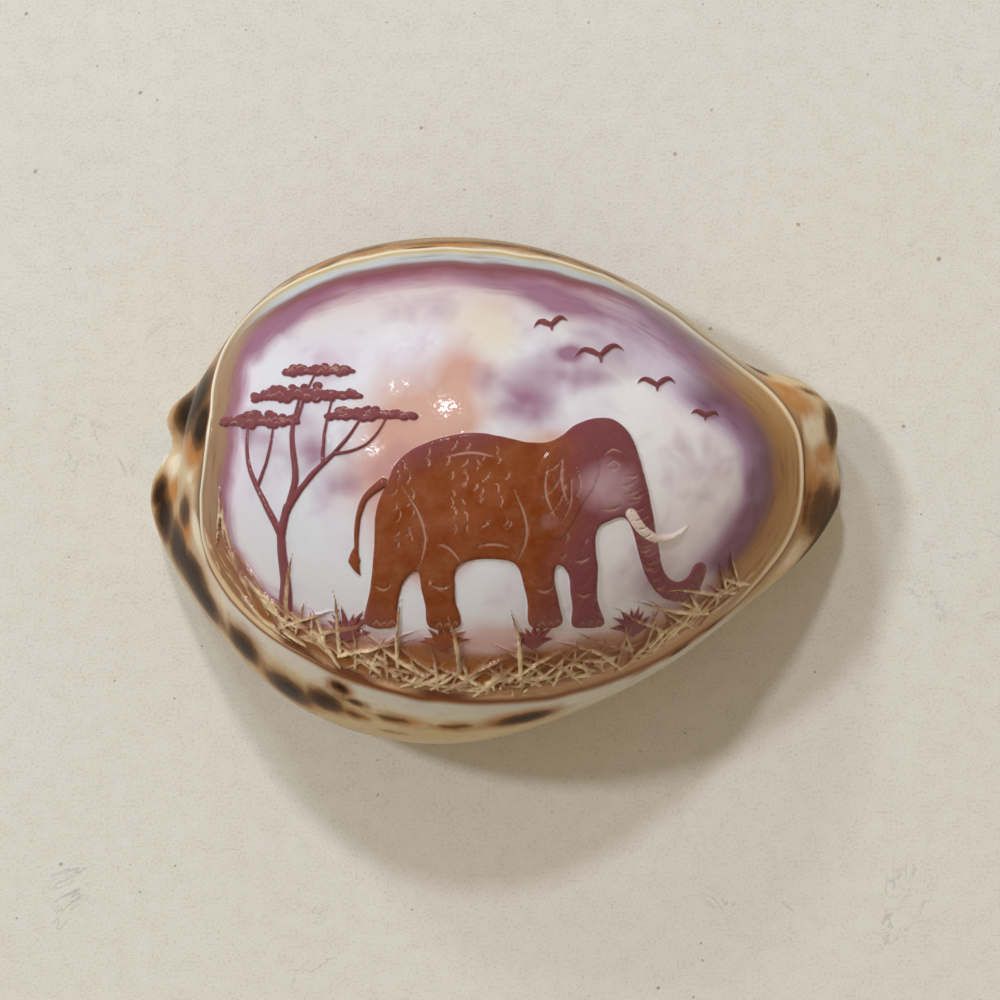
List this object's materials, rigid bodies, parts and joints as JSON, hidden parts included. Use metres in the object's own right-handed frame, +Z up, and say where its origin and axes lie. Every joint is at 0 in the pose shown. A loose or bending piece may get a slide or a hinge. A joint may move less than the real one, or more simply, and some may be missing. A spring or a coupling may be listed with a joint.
{
  "type": "carved cowrie shell",
  "caption": "Glossy tiger cowrie shell whose domed back is ground to a pale window and carved in relief; hollow, with a toothed slit and end notches beneath",
  "frame": {"origin": "On the resting plane, under the middle of the shell's box", "axes": "+X runs along the shell to its narrow front end, +Y to the inner (columellar) lip's side, +Z up through the carved back"},
  "size_m": [0.085, 0.0611, 0.0457],
  "materials": {
    "shell": "polished cream enamel"
  },
  "bodies": {
    "root": {"shell": "shell"}
  },
  "joints": []
}
